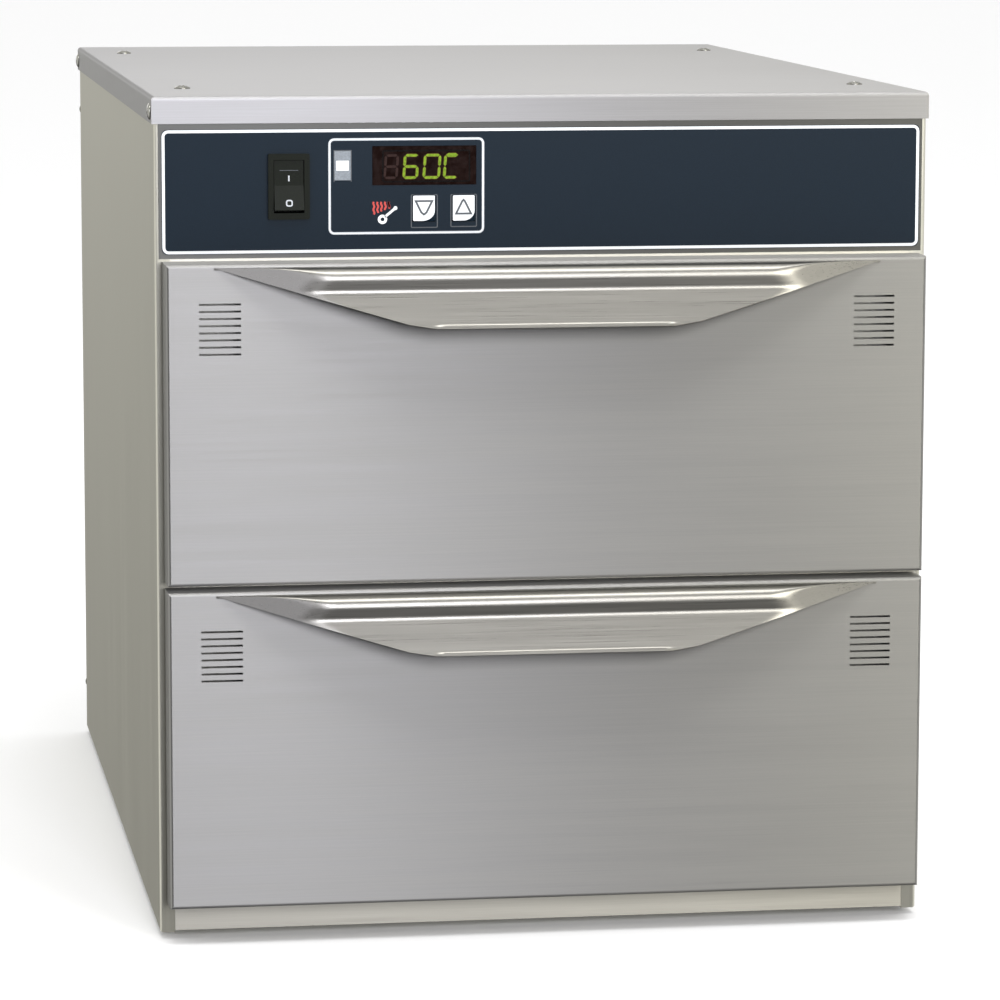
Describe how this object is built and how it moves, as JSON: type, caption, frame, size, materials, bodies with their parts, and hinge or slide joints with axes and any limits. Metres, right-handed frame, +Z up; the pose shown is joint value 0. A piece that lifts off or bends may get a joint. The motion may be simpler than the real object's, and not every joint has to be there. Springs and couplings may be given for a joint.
{
  "type": "warming drawer",
  "caption": "Countertop warming drawer: insulated steel casing with digital control panel and stacked drawers on telescopic slides, each with a formed pull, vents and a food pan.",
  "frame": {"origin": "middle of the bounding box in X and Y, on the worktop under the feet", "axes": "+X to the right seen from the front, +Y to the back, +Z up; the drawers open towards -Y"},
  "size_m": [0.4216, 0.661, 0.4533],
  "materials": {
    "brushed_stainless": "brushed stainless sheet",
    "drawer_stainless": "brushed stainless sheet, grain from side to side",
    "liner_stainless": "mill-finish stainless",
    "carrier_stainless": "satin stainless",
    "pan_stainless": "drawn stainless, bright satin",
    "slide_steel": "zinc-plated steel",
    "screw_steel": "polished stainless screw heads",
    "probe_steel": "polished stainless tube",
    "overlay": "printed polycarbonate, dark blue with a white line",
    "black_plastic": "moulded black nylon",
    "grey_plastic": "moulded grey",
    "white_plastic": "white moulded",
    "display": "smoked filter",
    "insulation": "glass fibre",
    "heating_strip": "silicone-sheathed heating strip",
    "glide_nylon": "natural nylon",
    "rubber": "moulded rubber"
  },
  "bodies": {
    "cabinet": {"back_panel": "brushed_stainless", "back_panel_screws": "screw_steel", "base_pan": "brushed_stainless", "control_fascia": "brushed_stainless", "control_module": "black_plastic", "control_overlay": "overlay", "cord_gland": "black_plastic", "display_window": "display", "gland_nut": "black_plastic", "heating_strip": "heating_strip", "inner_liner": "liner_stainless", "insulation_wrap": "insulation", "lamp_frame": "grey_plastic", "lamp_lens": "white_plastic", "left_side_panel": "brushed_stainless", "lower_left_slide_cabinet_member": "slide_steel", "lower_right_slide_cabinet_member": "slide_steel", "middle_rail": "brushed_stainless", "right_side_panel": "brushed_stainless", "rubber_feet": "rubber", "side_cover_screws": "screw_steel", "switch_housing": "black_plastic", "temperature_sensor": "probe_steel", "terminal_block": "black_plastic", "toe_strip": "brushed_stainless", "top_cover": "brushed_stainless", "top_cover_screws": "screw_steel", "top_rail": "brushed_stainless", "upper_left_slide_cabinet_member": "slide_steel", "upper_right_slide_cabinet_member": "slide_steel"},
    "lower_drawer": {"lower_drawer_front": "drawer_stainless", "lower_pull": "drawer_stainless", "lower_inner_panel": "liner_stainless", "lower_front_insulation": "insulation", "lower_pan_carrier": "carrier_stainless", "lower_food_pan": "pan_stainless", "lower_left_slide_drawer_member": "slide_steel", "lower_right_slide_drawer_member": "slide_steel"},
    "lower_slides": {"lower_left_slide_middle_member": "slide_steel", "lower_right_slide_middle_member": "slide_steel", "lower_slide_glides": "glide_nylon"},
    "lower_left_vent_shutter": {"lower_left_vent_shutter": "carrier_stainless"},
    "lower_right_vent_shutter": {"lower_right_vent_shutter": "carrier_stainless"},
    "upper_drawer": {"upper_drawer_front": "drawer_stainless", "upper_pull": "drawer_stainless", "upper_inner_panel": "liner_stainless", "upper_front_insulation": "insulation", "upper_pan_carrier": "carrier_stainless", "upper_food_pan": "pan_stainless", "upper_left_slide_drawer_member": "slide_steel", "upper_right_slide_drawer_member": "slide_steel"},
    "upper_slides": {"upper_left_slide_middle_member": "slide_steel", "upper_right_slide_middle_member": "slide_steel", "upper_slide_glides": "glide_nylon"},
    "upper_left_vent_shutter": {"upper_left_vent_shutter": "carrier_stainless"},
    "upper_right_vent_shutter": {"upper_right_vent_shutter": "carrier_stainless"},
    "power_rocker": {"power_rocker": "black_plastic"},
    "up_key": {"up_key": "white_plastic"},
    "down_key": {"down_key": "white_plastic"}
  },
  "joints": [
    {"name": "lower_drawer_slide", "type": "slide", "parent": "cabinet", "child": "lower_drawer", "axis": [0, -1, 0], "range_m": [0, 0.5]},
    {"name": "lower_slide_extension", "type": "slide", "parent": "cabinet", "child": "lower_slides", "axis": [0, -1, 0], "range_m": [0, 0.25]},
    {"name": "lower_left_vent_slide", "type": "slide", "parent": "lower_drawer", "child": "lower_left_vent_shutter", "axis": [1, 0, 0], "range_m": [0, 0.0035]},
    {"name": "lower_right_vent_slide", "type": "slide", "parent": "lower_drawer", "child": "lower_right_vent_shutter", "axis": [1, 0, 0], "range_m": [0, 0.0035]},
    {"name": "upper_drawer_slide", "type": "slide", "parent": "cabinet", "child": "upper_drawer", "axis": [0, -1, 0], "range_m": [0, 0.5]},
    {"name": "upper_slide_extension", "type": "slide", "parent": "cabinet", "child": "upper_slides", "axis": [0, -1, 0], "range_m": [0, 0.25]},
    {"name": "upper_left_vent_slide", "type": "slide", "parent": "upper_drawer", "child": "upper_left_vent_shutter", "axis": [1, 0, 0], "range_m": [0, 0.0035]},
    {"name": "upper_right_vent_slide", "type": "slide", "parent": "upper_drawer", "child": "upper_right_vent_shutter", "axis": [1, 0, 0], "range_m": [0, 0.0035]},
    {"name": "power_rocker_tilt", "type": "hinge", "parent": "cabinet", "child": "power_rocker", "pos_m": [-0.1369, -0.2863, 0.4038], "axis": [1, 0, 0], "range_deg": [0, 14]},
    {"name": "down_key_press", "type": "slide", "parent": "cabinet", "child": "down_key", "axis": [0, 1, 0], "range_m": [0, 0.0006], "stiffness_N_per_m": 400},
    {"name": "up_key_press", "type": "slide", "parent": "cabinet", "child": "up_key", "axis": [0, 1, 0], "range_m": [0, 0.0006], "stiffness_N_per_m": 400}
  ],
  "couplings": [
    {"joint": "lower_slide_extension", "follows": "lower_drawer_slide", "ratio": 0.5},
    {"joint": "upper_slide_extension", "follows": "upper_drawer_slide", "ratio": 0.5}
  ]
}
